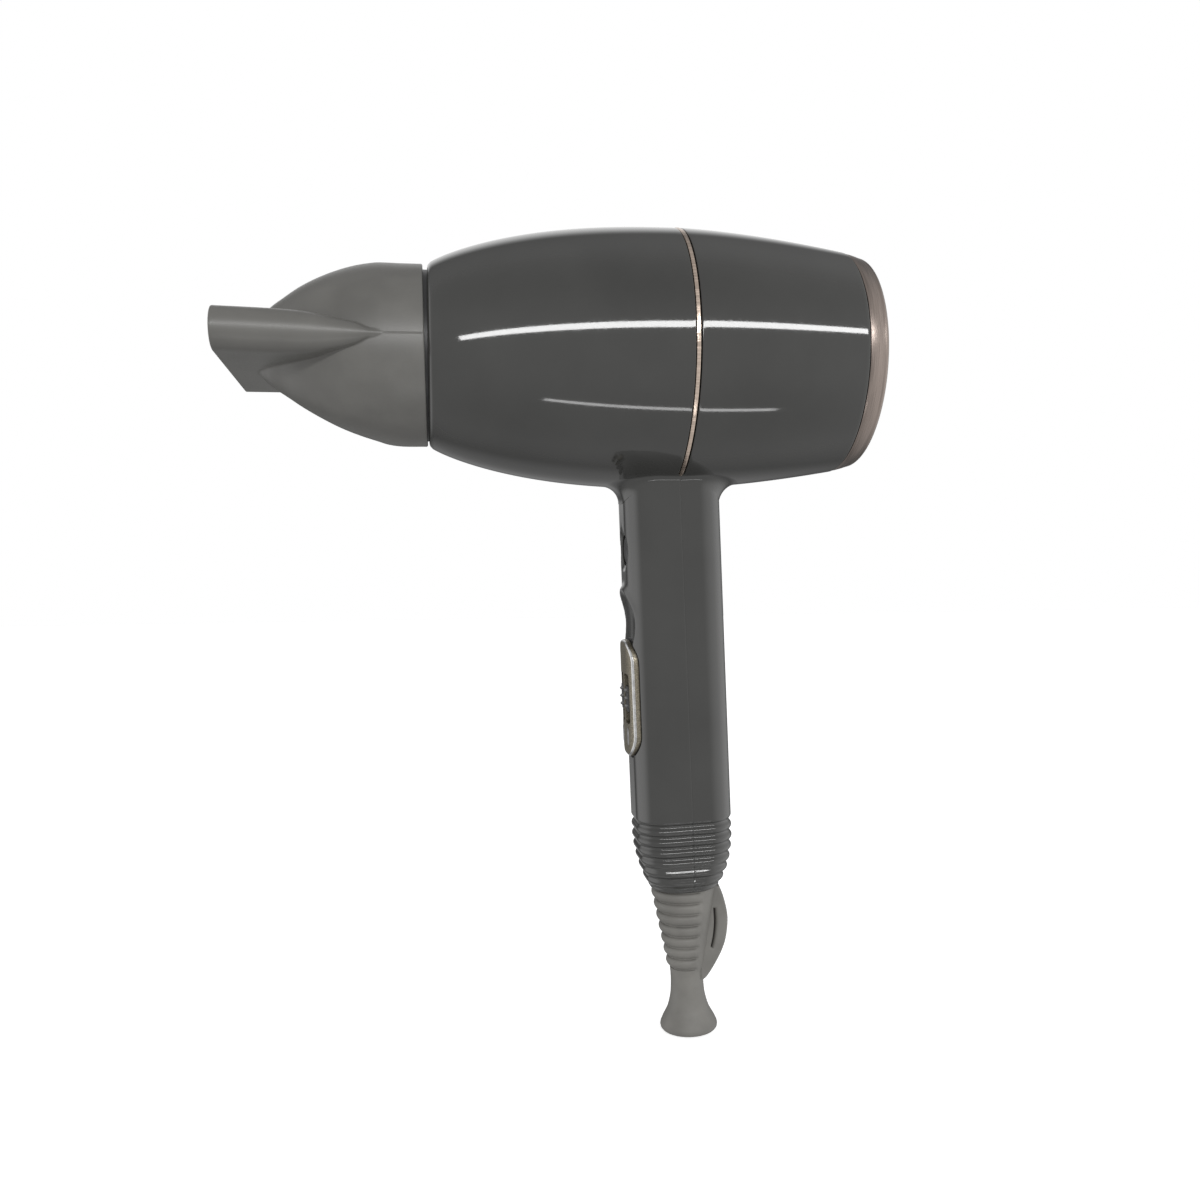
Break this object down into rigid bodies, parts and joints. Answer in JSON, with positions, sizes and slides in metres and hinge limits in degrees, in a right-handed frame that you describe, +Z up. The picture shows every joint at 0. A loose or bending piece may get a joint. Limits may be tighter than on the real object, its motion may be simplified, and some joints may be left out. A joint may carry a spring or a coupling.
{
  "type": "hair dryer",
  "caption": "Corded hand-held hair dryer with a round barrel, a leaning handle with slide switches and a cool-shot button, and a turning pull-off concentrator nozzle.",
  "frame": {"origin": "centre of the flat hub face in the middle of the rear grille, on the barrel's axis", "axes": "+X along the barrel's axis, out of the rear grille (the nozzle blows towards -X), +Z up with the handle hanging towards -Z, +Y across the dryer"},
  "size_m": [0.227, 0.0942, 0.2977],
  "materials": {
    "gloss_casing": "high-gloss dark grey moulded plastic",
    "satin_nozzle": "fine matt moulded plastic, heat resistant",
    "dark_plastic": "dark matt plastic",
    "rose_gold": "polished rose-gold plated metal",
    "bronze": "bronze anodised, brushed round the rim",
    "champagne_plate": "champagne metallic with a fine texture",
    "cord_rubber": "matt grey rubber",
    "filter_steel": "perforated steel",
    "inner_plastic": "black moulded plastic",
    "mica": "mica sheet",
    "resistance_wire": "resistance wire",
    "steel": "plain steel",
    "brass": "plain brass",
    "ferrite": "sintered ferrite and laminations",
    "board_green": "glass-fibre circuit board",
    "capacitor_blue": "dipped capacitor case"
  },
  "bodies": {
    "housing": {"front_casing": "gloss_casing", "rear_casing": "gloss_casing", "outlet_grille": "dark_plastic", "trim_ring": "rose_gold", "switch_plate": "champagne_plate", "cord_guard": "cord_rubber", "fan_duct": "inner_plastic", "motor_end_cap": "inner_plastic", "speed_switch": "inner_plastic", "heat_switch": "inner_plastic", "cool_shot_switch": "inner_plastic", "cord_clamp": "inner_plastic", "rectifier": "inner_plastic", "heater_sleeve": "mica", "heater_board_upright": "mica", "heater_board_level": "mica", "heater_coil_low": "resistance_wire", "heater_coil_high": "resistance_wire", "thermostat": "steel", "motor_can": "steel", "cool_shot_spring": "steel", "clamp_screw_1": "steel", "clamp_screw_2": "steel", "handle_screw_1": "steel", "handle_screw_2": "steel", "thermal_fuse": "brass", "motor_bearing_front": "brass", "motor_bearing_rear": "brass", "motor_magnet_upper": "ferrite", "motor_magnet_lower": "ferrite", "motor_brush_left": "ferrite", "motor_brush_right": "ferrite", "circuit_board": "board_green", "suppression_capacitor": "capacitor_blue"},
    "nozzle_collar": {"nozzle_collar": "dark_plastic"},
    "nozzle": {"nozzle_shell": "satin_nozzle"},
    "rear_cover": {"rear_bezel": "bronze", "rear_grille": "dark_plastic", "intake_filter": "filter_steel"},
    "fan_rotor": {"motor_shaft": "steel", "motor_armature": "ferrite", "motor_commutator": "brass", "fan_impeller": "inner_plastic"},
    "speed_slider": {"speed_slider": "dark_plastic"},
    "heat_slider": {"heat_slider": "dark_plastic"},
    "cool_shot_button": {"cool_shot_button": "dark_plastic"}
  },
  "joints": [
    {"name": "nozzle_pull", "type": "slide", "parent": "housing", "child": "nozzle_collar", "axis": [-1, 0, 0], "range_m": [0, 0.03]},
    {"name": "nozzle_turn", "type": "hinge", "parent": "nozzle_collar", "child": "nozzle", "pos_m": [-0.165, 0, 0], "axis": [1, 0, 0], "continuous": true},
    {"name": "rear_cover_pull", "type": "slide", "parent": "housing", "child": "rear_cover", "axis": [1, 0, 0], "range_m": [0, 0.02]},
    {"name": "fan_spin", "type": "hinge", "parent": "housing", "child": "fan_rotor", "pos_m": [-0.045, 0, 0], "axis": [1, 0, 0], "continuous": true},
    {"name": "speed_slide", "type": "slide", "parent": "housing", "child": "speed_slider", "axis": [-0.0339, 0, 0.9994], "range_m": [-0.0035, 0.0035]},
    {"name": "heat_slide", "type": "slide", "parent": "housing", "child": "heat_slider", "axis": [-0.0339, 0, 0.9994], "range_m": [-0.0035, 0.0035]},
    {"name": "cool_shot_press", "type": "slide", "parent": "housing", "child": "cool_shot_button", "axis": [0.9994, 0, 0.0339], "range_m": [0, 0.002], "stiffness_N_per_m": 400, "springref_m": -0.001, "deforming": ["cool_shot_spring"]}
  ]
}
